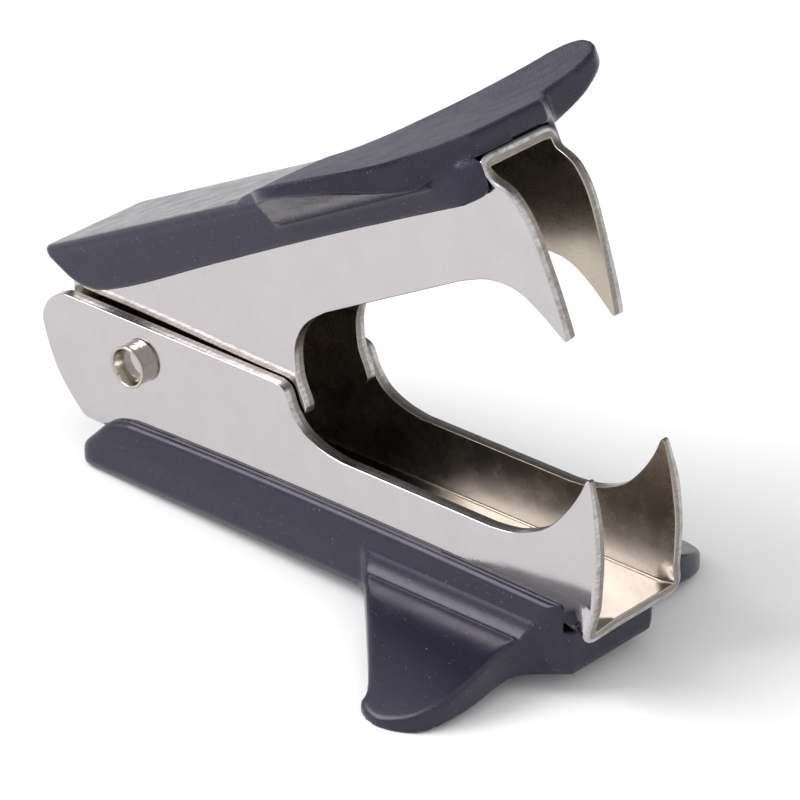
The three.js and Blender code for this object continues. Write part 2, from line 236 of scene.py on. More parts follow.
def sheared_material(name, base, rough_low, rough_high, relief):
    """One band of the sheet's cut edge: scored across its thickness, with tarnished patches."""
    material, tree, shader = nodes_of(name)
    at = coords(tree)
    streaks = noise(tree, stretched(tree, at, (1.0, 0.16, 1.0)), scale=4.5, detail=3.0, rough=0.65)
    patches = noise(tree, at, scale=1.1, detail=3.0, rough=0.6)
    tone = mix_color(tree, ramp(tree, streaks, 0.40, 0.62), shaded(base, 0.74), base)
    tarnish = (0.27, 0.235, 0.18)
    tone = mix_color(tree, ramp(tree, patches, 0.50, 0.66, 0.0, 0.7), tone, tarnish)
    tree.links.new(tone, shader.inputs["Base Color"])
    shader.inputs["Metallic"].default_value = 1.0
    tree.links.new(ramp(tree, streaks, 0.3, 0.7, rough_high, rough_low), shader.inputs["Roughness"])
    tree.links.new(bump(tree, streaks, strength=0.25, distance=relief), shader.inputs["Normal"])
    return material


def plastic_material(name, base):
    """Charcoal moulded plastic: satin, a little dusty, grained where the mesh's grain attribute says so,
    with painted glints there.
    """
    material, tree, shader = nodes_of(name)
    at = coords(tree)
    grain_and_glint_mask = tree.nodes.new("ShaderNodeAttribute")
    grain_and_glint_mask.attribute_name = "grain"
    mask = grain_and_glint_mask.outputs["Fac"]
    clouds = noise(tree, at, scale=0.5, detail=3.0)
    dust = ramp(tree, noise(tree, at, scale=6.0, detail=1.0, rough=0.3), 0.755, 0.79)
    lint = ramp(tree, noise(tree, at, scale=17.0, detail=1.0, rough=0.5), 0.735, 0.77)
    tone = mix_color(tree, ramp(tree, clouds, 0.35, 0.65), base, shaded(base, 0.84))
    # painted glints: bright flecks in the base colour of the grained pad stand in for its sparkle of
    # highlights
    painted_glints = ramp(tree, noise(tree, at, scale=7.0, detail=1.0, rough=0.5), 0.52, 0.68)
    tone = mix_color(tree, math_node(tree, "MULTIPLY", painted_glints, mask), tone, shaded(base, 4.2))
    dust = math_node(tree, "MULTIPLY", dust, 0.35)
    marks = math_node(tree, "MAXIMUM", dust, math_node(tree, "MULTIPLY", lint, 0.22))
    dust_color = (0.38, 0.38, 0.42)
    tree.links.new(mix_color(tree, marks, tone, dust_color), shader.inputs["Base Color"])
    satin = ramp(tree, clouds, 0.3, 0.7, 0.20, 0.29)
    rough = math_node(tree, "ADD", satin, math_node(tree, "MULTIPLY", mask, 0.22))
    tree.links.new(rough, shader.inputs["Roughness"])
    shader.inputs["IOR"].default_value = 1.43
    shader.inputs["Specular Tint"].default_value = (0.90, 0.88, 1.0, 1.0)
    grain = noise(tree, at, scale=5.5, detail=2.0, rough=0.6)
    height = math_node(tree, "MULTIPLY", grain, math_node(tree, "ADD", mask, 0.03))
    tree.links.new(bump(tree, height, strength=0.8, distance=0.00022), shader.inputs["Normal"])
    return material


steel = steel_material("nickel_plate", (0.495, 0.470, 0.480), (0.20, 0.185, 0.165), 0.05, 0.13)
# a darker, warmer copy of the plate for the inside of the channel: its darker base is painted shade there
shaded_inner_steel = steel_material(
    "nickel_plate_inside_shaded", (0.42, 0.372, 0.315), (0.13, 0.11, 0.085), 0.20, 0.34, speckle=1.5)
edge_steel = sheared_material("sheared_edge", (0.52, 0.505, 0.51), 0.20, 0.30, relief=0.00002)
torn_steel = sheared_material("torn_edge", (0.30, 0.28, 0.265), 0.30, 0.42, relief=0.00010)
rivet_steel = steel_material("rivet_plate", (0.46, 0.43, 0.39), (0.12, 0.10, 0.08), 0.12, 0.24, speckle=1.5)
spring_steel = steel_material("spring_wire", (0.42, 0.41, 0.41), (0.14, 0.13, 0.12), 0.24, 0.36)
plastic = plastic_material("charcoal_plastic", (0.0150, 0.0136, 0.0265))

# ---------------------------------------------------------------- stamped jaws
# A jaw is drawn as its flat sheet in (x, s), where s is the distance round the channel's section from the
# middle of the plate. It is then folded, its teeth are leaned, and it gets its thickness.

EDGE_ROLL = 0.34      # the cut edge's rounding towards the outer face
EDGE_BURR = 0.10      # and towards the inner face
OUTLINE_STEP = 0.26   # spacing of the points along the cut edge
HOLE_SIDES = 56
FINE_FROM = 43        # x where the teeth begin, and with them a closer mesh
TIP_LEAN = 0.4        # how far the lower teeth's tips lean inwards
NEAR_FLARE = 0.85     # how far the lower feet flare outwards; near is y > 0 on the lower half
FAR_FLARE = 0.5
NEAR_SAG = 0.25       # how far the near foot hangs down
TIP_THINNING = 0.45   # what the lower teeth's tips lose of their thickness
UPPER_LEAN = 0.073    # slope of the upper teeth towards each other
EAR = 0.1             # how far the upper plate's front corners stick out
PINCH = 0.3           # how far the upper cheeks close in at the rear

SHEET_MATERIALS = (steel, edge_steel, shaded_inner_steel, torn_steel)
OUTER, SHEARED, INNER, TORN = range(4)
# material of each strip of the rim, from the outer face to the inner one; INNER is the plate's darker copy
# with painted shade
RIM_STRIPS = (OUTER, OUTER, SHEARED, SHEARED, SHEARED, TORN, INNER, INNER, INNER, INNER)


def fold(jaw, x, s):
    """The middle of the folded sheet, as (x, y, w)."""
    a, sign = np.abs(s), np.sign(s)
    flat = jaw["half"] - BEND
    turn = np.clip((a - flat) / BEND_MID, 0, QUARTER)
    down = np.maximum(a - flat - BEND_MID * QUARTER, 0)
    y = np.where(a < flat, a, flat + BEND_MID * np.sin(turn))
    bend_w = jaw["plate"] - BEND + BEND_MID * np.cos(turn)
    w = np.where(a < flat, jaw["plate"] - SHEET / 2, bend_w) - down
    return x, sign * y, w


def round_of(jaw, w):
    """How far round the section the height w of the side view lies."""
    flat = jaw["half"] - BEND
    corner = jaw["plate"] - BEND
    w = np.asarray(w, float)
    turn = np.arccos(np.clip((w - corner) / BEND_MID, 0, 1))
    return np.where(w < corner, flat + BEND_MID * QUARTER + corner - w, flat + BEND_MID * turn)


def lean_lower(x, y, w):
    """Teeth lean inwards at their tips; their feet flare outwards at the front edge, the near one more."""
    lean = -TIP_LEAN * np.maximum(0, (3.5 - w) / 9.7) ** 1.5 * smoothstep(38, 47, x)
    flare = np.where(y > 0, NEAR_FLARE, FAR_FLARE) * smoothstep(48.7, 50.5, x) * smoothstep(4.8, 7.2, w)
    sag = np.where(y > 0, NEAR_SAG, 0.0) * smoothstep(49.0, 50.5, x) * smoothstep(5.0, 6.8, w)
    a = np.abs(y)
    return x, y + np.sign(y) * smoothstep(3.4, 4.8, a) * (lean + flare), w + smoothstep(2.0, 5.0, a) * sag


def lean_upper(x, y, w):
    """Teeth lean inwards, the top corners are pushed out as ears, the cheeks close in at the rear."""
    lean = UPPER_LEAN * (w - 5.2) * smoothstep(36, 46, x)
    ear = smoothstep(45.2, 46.8, x) * smoothstep(7.6, 8.8, w)
    pinch = PINCH * (1 - smoothstep(-2, 16, x))
    corner = smoothstep(2.6, 3.6, np.abs(y))
    return x, y + np.sign(y) * corner * (lean + EAR * ear - pinch), w


def lower_thickness(p):
    """The lower teeth are thinned towards their tips."""
    return SHEET - TIP_THINNING * smoothstep(1.6, 6.4, -p[:, 2]) * smoothstep(43, 47, p[:, 0])


def upper_thickness(p):
    return np.full(len(p), SHEET)


def sheet_surface(jaw, lean, x, s):
    """Point, unit normal away from the channel, and the two tangents of the sheet's middle surface."""
    e = 0.02

    def at(xx, ss):
        return np.stack(lean(*fold(jaw, xx, ss)), -1)

    tx = (at(x + e, s) - at(x - e, s)) / (2 * e)
    ts = (at(x, s + e) - at(x, s - e)) / (2 * e)
    n = np.cross(tx, ts)
    n /= np.linalg.norm(n, axis=-1, keepdims=True)
    return at(x, s), n, tx, ts


def loop_normals(p):
    """Outward normals of a closed anticlockwise loop."""
    t = np.roll(p, -1, 0) - np.roll(p, 1, 0)
    t /= np.linalg.norm(t, axis=1, keepdims=True)
    return np.stack([t[:, 1], -t[:, 0]], 1)


def inside(poly, q):
    x, y = q[:, 0], q[:, 1]
    result = np.zeros(len(q), bool)
    for (x0, y0), (x1, y1) in zip(poly, np.roll(poly, -1, 0)):
        cross = (y0 > y) != (y1 > y)
        if cross.any():
            result ^= cross & (x < (x1 - x0) * (y - y0) / (y1 - y0 + 1e-30) + x0)
    return result


def distance_to(poly, q):
    best = np.full(len(q), 1e9)
    for p0, p1 in zip(poly, np.roll(poly, -1, 0)):
        d = p1 - p0
        t = np.clip(((q - p0) @ d) / max(d @ d, 1e-12), 0, 1)
        best = np.minimum(best, np.linalg.norm(q - p0 - t[:, None] * d, axis=1))
    return best


def signed_area(p):
    q = np.roll(p, -1, 0)
    return 0.5 * np.sum(p[:, 0] * q[:, 1] - q[:, 0] * p[:, 1])


def soften(p, spacing, rounds):
    """Closed loop resampled evenly, with its corners rounded off a little."""
    p = resample(np.vstack([p, p[:1]]), spacing)[:-1]
    for _ in range(rounds):
        p = 0.5 * p + 0.25 * (np.roll(p, 1, 0) + np.roll(p, -1, 0))
    return p


def sheet_loops(jaw, half_outline):
    """The flat sheet's outline, mirrored from its half, anticlockwise, then its rivet holes, clockwise."""
    half = np.array(half_outline)
    outline = np.vstack([half, (half * [1, -1])[::-1]])
    if signed_area(outline) < 0:
        outline = outline[::-1]
    outline = soften(outline, 0.12, 3)
    loops = [resample(np.vstack([outline, outline[:1]]), OUTLINE_STEP)[:-1]]
    turn = np.linspace(0, 2 * math.pi, HOLE_SIDES, endpoint=False)
    hole_s = round_of(jaw, 0.0)
    for side in (1, -1):
        hole = np.stack([HOLE_R * np.cos(turn), side * hole_s + HOLE_R * np.sin(turn)], 1)
        loops.append(hole[::-1])
    return loops


def sheet_grid(jaw, loops):
    """Points inside the outline for the two faces, closer together in the bends and at the teeth."""
    outline = loops[0]
    flat = jaw["half"] - BEND
    bend_end = flat + BEND_MID * QUARTER
    lines = list(np.arange(0, flat, 1.1)) + list(np.linspace(flat, bend_end, 7))
    lines += list(np.arange(bend_end + 0.6, np.abs(outline[:, 1]).max(), 0.75))
    grid = []
    for line in lines:
        step = 0.7 if flat - 0.1 < line < bend_end + 0.1 else 1.0
        coarse = np.arange(outline[:, 0].min(), FINE_FROM, step)
        for x in np.concatenate([coarse, np.arange(FINE_FROM, outline[:, 0].max(), 0.5)]):
            grid.append((x, line))
            if line > 0:
                grid.append((x, -line))
    grid = np.array(grid)
    keep = inside(outline, grid)
    for loop in loops:
        keep &= distance_to(loop, grid) > 0.5
    for hole in loops[1:]:
        keep &= ~inside(hole, grid)
    return grid[keep]


def rim_rows():
    """Rows of points round the cut edge, from the outer face to the inner one.

    Each row is: how far inside the outline, which face it is measured from, how far beyond that face,
    and its normal's share of the face's normal and of the outline's.
    """
    arc = np.linspace(0, QUARTER, 5)
    rolled = [(EDGE_ROLL * (1 - math.sin(a)), 1, -EDGE_ROLL * (1 - math.cos(a)), math.cos(a), math.sin(a))
              for a in arc]
    middle = (0.0, 0, 0.0, 0.0, 1.0)
    sheared = [(EDGE_BURR * (1 - math.cos(a)), -1, -EDGE_BURR * (1 - math.sin(a)), -math.sin(a), math.cos(a))
               for a in arc]
    return rolled + [middle] + sheared


def edge_share(p):
    """How much of its rounding the cut edge has: all of it on the teeth's feet, little at their tips."""
    return 0.45 + smoothstep(43, 46, p[:, 0]) * (0.55 - 0.7 * smoothstep(1.0, -5.0, p[:, 2]))


def make_jaw(which, jaw, lean, half_outline, thickness):
    """A folded sheet: a rim with a rolled and a sheared corner round each loop, and a face on each side."""
    loops = sheet_loops(jaw, half_outline)
    verts, norms, faces, index = [], [], [], []
    count = 0
    rings = {1: [], -1: []}
    for loop in loops:
        n2 = loop_normals(loop)
        rows, insets = [], []
        share = edge_share(sheet_surface(jaw, lean, loop[:, 0], loop[:, 1])[0])
        for inset, side, beyond, along_n, along_out in rim_rows():
            q = loop - n2 * (inset * share)[:, None]
            at, n, tx, ts = sheet_surface(jaw, lean, q[:, 0], q[:, 1])
            out = n2[:, :1] * tx + n2[:, 1:] * ts
            out /= np.linalg.norm(out, axis=1, keepdims=True)
            verts.append(at + n * (side * (thickness(at) / 2 + beyond * share))[:, None])
            norms.append(along_n * n + along_out * out)
            insets.append(q)
            rows.append(np.arange(count, count + len(loop)))
            count += len(loop)
        for a, b, material in zip(rows, rows[1:], RIM_STRIPS):
            for i in range(len(loop)):
                j = (i + 1) % len(loop)
                faces.append((int(a[i]), int(b[i]), int(b[j]), int(a[j])))
                index.append(material)
        rings[1].append((insets[0], rows[0]))
        rings[-1].append((insets[-1], rows[-1]))
    grid = sheet_grid(jaw, loops)
    flat = jaw["half"] - BEND
    for side in (1, -1):
        points = np.vstack([q for q, _ in rings[side]] + [grid])
        ids = np.concatenate([rows for _, rows in rings[side]] + [np.arange(count, count + len(grid))])
        at, n, _, _ = sheet_surface(jaw, lean, grid[:, 0], grid[:, 1])
        verts.append(at + n * (side * thickness(at) / 2)[:, None])
        norms.append(side * n)
        count += len(grid)
        edges, start = [], 0
        for q, _ in rings[side]:
            k = len(q)
            edges += [(start + i, start + (i + 1) % k) for i in range(k)]
            start += k
        found = delaunay_2d_cdt([Vector(v) for v in points], edges, [], 2, 1e-6)
        origin = [o[0] for o in found[3]]
        for f in found[2]:
            ring = [int(ids[origin[i]]) for i in f]
            on_cheek = np.abs(points[list(f), 1]).min() > flat - 0.1
            faces.append(tuple(ring if side > 0 else ring[::-1]))
            # the cheeks' inner faces take the darker copy of the plate, painted shade inside the channel
            index.append(INNER if side < 0 and on_cheek else OUTER)
    pos, nor = transformed(PLACE[which], np.vstack(verts), np.vstack(norms))
    obj = new_object(which + "_jaw_sheet", pos, faces, nor, SHEET_MATERIALS, index)
    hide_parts(which + "_jaw")
    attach(obj, which)


def sheet_outline(jaw, side_view):
    """Half of the flat outline, from a cheek's side view (x, w)."""
    p = np.vstack(side_view)
    cheek = np.stack([p[:, 0], round_of(jaw, p[:, 1])], 1)
    return np.vstack([[(jaw["front"], 0.0)], cheek, [(jaw["rear"], 0.0)]])


def lower_outline():
    front = spline([(50.2, 7.3), (50.35, 5.6), (50.5, 3.6), (50.55, 0.4), (50.1, -3.0), (49.2, -6.2)])
    throat = spline([(48.9, -6.2), (48.2, -4.5), (46.9, -2.5), (45.0, -0.6), (42.2, 0.7), (39.6, 1.1)])
    step = spline([(23.4, 1.1), (21.2, 0.7), (19.2, -0.2), (17.9, -1.7), (17.2, -3.3), (16.2, -3.8)])
    heel = [(-8.4, -3.8), (-9.8, -3.1), (-10.7, -2.1), (-11.1, -0.4), (-9.7, 3.4), (-7.6, 6.1), (-5.6, 7.7)]
    return sheet_outline(LOWER_JAW, [front, throat, step, spline(heel)])


def upper_outline():
    waist = [(46.95, 9.3), (47.0, 8.5), (47.3, 7.8), (48.1, 7.0), (48.8, 5.8)]
    front = spline(waist + [(49.2, 3.2), (48.8, -1.6), (48.1, -6.2)])
    throat = spline([(47.85, -6.25), (46.5, -3.4), (44.9, -1.2), (42.6, 0.1), (39.6, 0.5)])
    lobe = [(23.4, 0.4), (20.6, -0.2), (18.6, -1.7), (17.4, -4.3), (17.2, -6.6), (16.9, -7.4), (15.8, -7.7)]
    foot = spline([(15.8, -7.7), (8.0, -7.0), (0.0, -6.2)])
    rear = spline([(0.0, -6.2), (-3.6, -5.5), (-6.9, -3.0), (-8.0, 1.0), (-7.2, 4.8), (-5.6, 8.2)])
    return sheet_outline(UPPER_JAW, [front, throat, spline(lobe), foot, rear, [(-5.6, 9.25)]])


make_jaw("lower", LOWER_JAW, lean_lower, lower_outline(), lower_thickness)
make_jaw("upper", UPPER_JAW, lean_upper, upper_outline(), upper_thickness)

# ---------------------------------------------------------------- moulded covers
# A cover is the zero surface of a distance field, sampled on a grid: a body and two wings, blended together,
# less the room that the steel takes.

CELL = 0.22           # spacing of the grid
GRID_FRONT = 50.2     # its last x, its cells on each side of the middle, and its range of w
GRID_SIDE = 91
GRID_W = (4.6, 14.8)
GRID_SHIFT = 0.03     # keeps the flat faces off the grid's planes
COVER_HALF = 6.8      # half the body's width
PLAN_HALF = 7.0       # half the width of its plan, which rounds off its ends only
REAR_CORNER = 2.2     # radius of the plan's rear corners
SKIRT_TOP = 9.8       # above it the upper body is a square block, below it a skirt with curled ends
SKIRT_FRONT = 47.5
PAD_REAR = 19.0       # where the raised, grained pad begins
PAD_SKEW = 0.12       # its edge slants forwards to the sides
PAD_FULL = 29         # x from which the pad has its full height
PARTING = 0.95        # depth of the mould's parting line below the back
PARTING_STEP = 0.09   # how far the sides step in there
WING_FROM = 6         # y where the wings begin to bend outwards
WING_BEND = 2.05      # how far their tips bend
WING_RIM = 12.75      # w of a wing's inward face at its rim
WING_THICK = 1.0      # least thickness of a wing
BACK_ROUND = 1.1      # rounding of a body's long edges
BITE = 0.10           # the covers reach this far into the steel, so that no gap shows along it
# back: w of the outward face; taper: its slope up to the pad; root, crease, fillet: how a wing's inward
# face leaves the body; span: half the width over the wings; foot, tip, front: x of a wing's rear end, widest
# place and front edge; rear, nose: x of the body's two ends; rear_wall: x where its inside begins (the upper
# one is open at the rear); nose_half: half the nose's width; skirt_round: rounding of the skirt's edge
COVERS = {
    "lower": dict(jaw=LOWER_JAW, back=11.65, taper=0.0, root=8.7, crease=7.9, fillet=1.4, span=19.4,
                  foot=27.2, tip=40.0, front=44.4, rear=-6.4, rear_wall=-5.6, nose=47.9, nose_half=4.9,
                  skirt_round=0.75),
    "upper": dict(jaw=UPPER_JAW, back=11.7, taper=-0.018, root=8.9, crease=7.3, fillet=0.4, span=18.9,
                  foot=24.8, tip=38.6, front=43.4, rear=-5.6, rear_wall=-20.0, nose=46.55, nose_half=4.35,
                  skirt_round=0.35),
}


def smax(a, b, k):
    """Larger of two fields, with the edge between them rounded over about k."""
    h = np.clip(0.5 + 0.5 * (a - b) / k, 0, 1)
    return b + (a - b) * h + k * h * (1 - h)


def smin(a, b, k):
    return -smax(-a, -b, k)


def outline_field(points, u, v):
    """Signed distance to a closed outline on the grid u by v."""
    p = np.array(points, float)
    uu, vv = np.meshgrid(u, v, indexing="ij")
    q = np.stack([uu.ravel(), vv.ravel()], 1)
    d = distance_to(p, q)
    return np.where(inside(p, q), -d, d).reshape(uu.shape)


def wing_back(c, x, a):
    """Outward surface of the wings and of the pad between them, which starts with a small step."""
    step = 0.1 * smoothstep(0.0, 0.3, x - PAD_REAR - PAD_SKEW * a)
    rise = 0.3 * smoothstep(PAD_REAR, PAD_FULL, x) + step
    flare = np.maximum(0, (a - WING_FROM) / (c["span"] - WING_FROM))
    return c["back"] + c["taper"] * np.minimum(x, PAD_REAR) + rise + WING_BEND * flare**1.7


def wing_face(c, x, a, which):
    """Inward surface: a fillet against the body, a crease, then a shallow slope to the rim."""
    a = np.maximum(a, COVER_HALF)
    out = np.maximum(0, (a - c["crease"]) / (c["span"] - c["crease"]))
    climb = c["fillet"] * (np.maximum(0, c["crease"] - a) / (c["crease"] - COVER_HALF)) ** 1.5
    face = c["root"] - climb + (WING_RIM - c["root"]) * out**1.45
    if which == "upper":
        face = face + smoothstep(c["front"] - 0.4, c["front"] + 1.6, x) * (SKIRT_TOP - face)
    return np.minimum(face, wing_back(c, x, a) - WING_THICK)


def wing_plan(c):
    root, tip, front, span = c["foot"], c["tip"], c["front"], c["span"]
    rim = [(root, 7.0), (root + 9.0, span - 2.9), (tip - 2.6, span - 0.7), (tip - 0.2, span)]
    rim += [(tip + 2.3, span - 1.1), (front - 0.7, span - 3.1), (front, span - 6.2), (front, 9.2)]
    rim += [(front + 0.5, 7.7), (front + 1.6, 6.6), (c["nose"], c["nose_half"])]
    start = [(root - 7, -7.0), (root - 7, 5.2), (root - 1.6, 5.8)]
    return np.vstack([start, spline(rim, 12), [(c["nose"], -7.0)]])


def body_plan(c, end):
    """Plan of a body, from its rounded rear corner to the given points of its front end."""
    rear = c["rear"]
    turn = np.linspace(math.pi, QUARTER, 12)
    along = rear + REAR_CORNER + REAR_CORNER * np.cos(turn)
    across = PLAN_HALF - REAR_CORNER + REAR_CORNER * np.sin(turn)
    side = spline([(c["nose"] - 3.4, PLAN_HALF)] + end, 8)
    arc = np.stack([along, across], 1)
    return np.vstack([[(rear, -PLAN_HALF)], arc, side, [(end[-1][0], -PLAN_HALF)]])


def lower_side():
    back = COVERS["lower"]["back"]
    rear = COVERS["lower"]["rear"]
    start = [(rear + 0.6, back), (rear, back - 0.6)]
    heel = [(-6.2, 9.7), (-4.6, 8.1), (-2.9, 6.5), (-1.0, 5.8), (1.5, 5.6)]
    edge = [(14, 5.3), (30, 5.25), (47.9, 5.45)]
    return np.vstack([start, spline(heel + edge, 12), [(49, 5.45), (49, back)]])


def upper_side():
    c = COVERS["upper"]
    back, taper, rear = c["back"], c["taper"], c["rear"]
    start = [(rear + 0.3, back + (rear + 0.3) * taper), (rear, back - 0.35)]
    heel = [(-4.2, 10.4), (-3.5, 9.5), (-2.7, 8.5), (-1.2, 7.4), (0.8, 6.8)]
    edge = [(6, 6.6), (16, 6.8), (32, 6.85), (45.4, 6.6)]
    end = [(45.4, 6.6), (46.6, 6.8), (47.3, 7.5), (SKIRT_FRONT, 8.6)]
    top = [(SKIRT_FRONT, back + PAD_REAR * taper), (PAD_REAR, back + PAD_REAR * taper)]
    return np.vstack([start, spline(heel + edge, 12), spline(end, 12), top])


def body_front(which, x, y, w):
    """Field of a body's plan: square ahead of the jaws, curled in at the sides of the upper teeth.

    The upper skirt's near end, at y < 0, reaches further forwards than its far end.
    """
    c, a = COVERS[which], np.abs(y)
    nose, half = c["nose"], c["nose_half"]

    def plan(end):
        return outline_field(body_plan(c, end), x, a)[:, :, None]

    square = plan([(nose - 1.7, 6.65), (nose - 0.5, half + 0.8), (nose, half)])
    if which == "lower":
        return square
    near = plan([(SKIRT_FRONT - 2.3, 6.5), (SKIRT_FRONT - 0.9, 5.7), (SKIRT_FRONT, 4.6)])
    far = plan([(nose - 1.55, 6.3), (nose - 0.65, 5.6), (nose - 0.35, 4.6)])
    curl = np.where(y[None, :, None] < 0, near, far)
    return curl + smoothstep(SKIRT_TOP - 0.5, SKIRT_TOP + 0.5, w[None, None, :]) * (square - curl)


def steel_room(which, x, a, w):
    """Field of the space inside a cover, which follows the lean of the upper jaw's cheeks."""
    c = COVERS[which]
    jaw, spread = c["jaw"], 0.0
    if which == "upper":
        spread = 0.42 * smoothstep(38, 44, x) - 0.25 * (1 - smoothstep(-2, 16, x))
    room = np.maximum(a - jaw["half"] + BITE - spread, w - jaw["plate"] - 0.01)
    return np.maximum(room, c["rear_wall"] - x)


def cover_field(which, x, y, w):
    c = COVERS[which]
    a = np.abs(y)
    X, A, W = x[:, None, None], a[None, :, None], w[None, None, :]
    back = c["back"] + c["taper"] * np.minimum(X, PAD_REAR)
    half = COVER_HALF - 0.5 * smoothstep(8.5, 4.5, W) - 0.12 * smoothstep(10.2, back, W)
    half = half - PARTING_STEP * smoothstep(0.08, -0.08, back - W - PARTING)
    body = smax(A - half, W - back, BACK_ROUND)
    side = outline_field(lower_side() if which == "lower" else upper_side(), x, w)[:, None, :]
    body = smax(body, side, c["skirt_round"])
    body = smax(body, body_front(which, x, y, w), 0.35)
    slab = smax((W - wing_back(c, X, A)) * 0.95, (wing_face(c, X, A, which) - W) * 0.9, 0.3)
    wing = smax(slab, outline_field(wing_plan(c), x, a)[:, :, None], 0.38)
    return smax(smin(body, wing, 0.3), -steel_room(which, X, A, W), 0.05)


CORNERS = [(i, j, k) for i in (0, 1) for j in (0, 1) for k in (0, 1)]


def surface_nets(field):
    """Quads over the zero surface of a sampled field, one vertex in each cell that it crosses."""
    solid = field < 0
    shape = tuple(n - 1 for n in field.shape)
    total = np.zeros(shape + (3,))
    hits = np.zeros(shape)

    def at_corner(o):
        return field[o[0]:o[0] + shape[0], o[1]:o[1] + shape[1], o[2]:o[2] + shape[2]]

    for o in CORNERS:
        for axis in range(3):
            if o[axis]:
                continue
            e = list(o)
            e[axis] = 1
            f0, f1 = at_corner(o), at_corner(e)
            crossed = (f0 < 0) != (f1 < 0)
            t = np.where(crossed, f0 / np.where(crossed, f0 - f1, 1), 0)
            for k in range(3):
                total[..., k] += np.where(crossed, o[k] + (t if k == axis else 0), 0)
            hits += crossed
    active = hits > 0
    cell = np.argwhere(active)
    ids = -np.ones(shape, int)
    ids[active] = np.arange(len(cell))
    grid = cell + total[active] / hits[active][:, None]
    quads = []
    for axis, b, d in ((0, 1, 2), (1, 2, 0), (2, 0, 1)):
        low, high = [slice(None)] * 3, [slice(None)] * 3
        low[axis], high[axis] = slice(0, -1), slice(1, None)
        before, after = solid[tuple(low)], solid[tuple(high)]
        for leaving, change in ((True, before & ~after), (False, ~before & after)):
            at = np.argwhere(change)
            ok = (at[:, b] > 0) & (at[:, d] > 0) & (at[:, b] < shape[b]) & (at[:, d] < shape[d])
            at = at[ok]
            ring = []
            for db, dd in ((-1, -1), (0, -1), (0, 0), (-1, 0)):
                q = at.copy()
                q[:, b] += db
                q[:, d] += dd
                ring.append(ids[q[:, 0], q[:, 1], q[:, 2]])
            ring = np.stack(ring, 1)
            quads.append(ring if leaving else ring[:, ::-1])
    quads = np.vstack(quads)
    return grid, quads[(quads >= 0).all(1)]


def trilinear(values, at):
    """A sampled field's values at points given in cells of its grid."""
    low = np.clip(np.floor(at).astype(int), 0, np.array(values.shape[:3]) - 2)
    f = at - low
    out = 0
    for o in CORNERS:
        weight = 1.0
        for axis in range(3):
            weight = weight * (f[:, axis] if o[axis] else 1 - f[:, axis])
        v = values[low[:, 0] + o[0], low[:, 1] + o[1], low[:, 2] + o[2]]
        out = out + (weight[:, None] * v if v.ndim == 2 else weight * v)
    return out


def make_cover(which):
    c = COVERS[which]
    x = np.arange(c["rear"] - 0.6, GRID_FRONT, CELL)
    y = np.arange(-GRID_SIDE, GRID_SIDE + 1) * CELL
    w = np.arange(*GRID_W, CELL) + GRID_SHIFT
    field = cover_field(which, x, y, w)
    if which == "lower":
        up = w[None, None, :] * math.cos(PITCH) - x[:, None, None] * math.sin(PITCH)
        field = smax(field, up - pivot.z / MM, 0.12)  # cut flat where it stands on the table
    grid, quads = surface_nets(field)
    gradient = np.stack(np.gradient(field), -1)
    for _ in range(2):
        g = trilinear(gradient, grid)
        grid = grid - g * (trilinear(field, grid) / np.maximum((g * g).sum(1), 1e-9))[:, None] * 0.8
    g = trilinear(gradient, grid)
    normal = g / np.maximum(np.linalg.norm(g, axis=1, keepdims=True), 1e-9)
    points = np.array([x[0], y[0], w[0]]) + grid * CELL
    pos, nor = transformed(PLACE[which], points, normal)
    faces = [tuple(int(i) for i in q) for q in quads]
    obj = new_object(which + "_cover_shell", pos, faces, nor, (plastic,))
    facing_out = smoothstep(0.45, 0.8, normal[:, 2])
    pad = facing_out * smoothstep(0.1, 0.35, points[:, 0] - PAD_REAR - PAD_SKEW * np.abs(points[:, 1]))
    # the grain attribute marks the grained pad, which also takes the painted glints
    attribute = obj.data.attributes.new("grain", "FLOAT", "POINT")
    attribute.data.foreach_set("value", pad.astype(np.float32))
    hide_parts(which + "_cover")
    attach(obj, which)


make_cover("lower")
make_cover("upper")

# ---------------------------------------------------------------- rivet and spring

RIVET_R = 1.75
RIVET_NECK = 1.84     # radius of the part that stands out of the cheeks
RIVET_BORE = 1.25
RIVET_SIDES = 88

WIRE_R = 0.45
WIRE_SIDES = 14
WIRE_GAP = 0.12       # between a leg and its plate
COIL_R = 2.75
COIL_TURNS = 4.25
COIL_HALF = 2.35      # the coil's turns run from y = -COIL_HALF to +COIL_HALF
LEG_REACH = 13        # how far along its plate a leg goes


def make_rivet():
    """Turned eyelet: a barrel through both jaws, with a rolled lip at each end."""
    edge = LOWER_JAW["half"] + 0.02
    barrel = [(RIVET_R, 0.0), (RIVET_R, edge - 0.6), (RIVET_NECK, edge - 0.5), (RIVET_NECK, edge + 0.3)]
    barrel += [(RIVET_NECK, edge + 0.6)]
    lip = [(RIVET_NECK, edge + 0.8), (1.9, edge + 0.9), (1.93, edge + 1.0), (1.9, edge + 1.08)]
    lip += [(1.8, edge + 1.12), (1.69, edge + 1.08), (1.62, edge + 0.96)]
    funnel = [(1.62, edge + 0.96), (1.48, edge + 0.6), (1.36, edge + 0.2), (RIVET_BORE, edge - 0.4)]
    half = np.vstack([barrel, spline(lip, 5)[:-1], spline(funnel, 5), [(RIVET_BORE, 0.0)]])
    profile = np.vstack([half, (half * [1, -1])[::-1][1:-1]])
    n, k = RIVET_SIDES, len(profile)
    turn = np.linspace(0, 2 * math.pi, n, endpoint=False)
    verts = np.array([(r * math.cos(t), v, r * math.sin(t)) for t in turn for r, v in profile])
    faces = []
    for i in range(n):
        here, there = i * k, (i + 1) % n * k
        for j in range(k):
            m = (j + 1) % k
            faces.append((here + j, here + m, there + m, there + j))
    pos, _ = transformed(STANCE @ Matrix.Scale(MM, 4), verts, verts)
    obj = new_object("rivet_eyelet", pos, faces, None, (rivet_steel,))
    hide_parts("pivot_rivet")
    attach(obj, "lower")


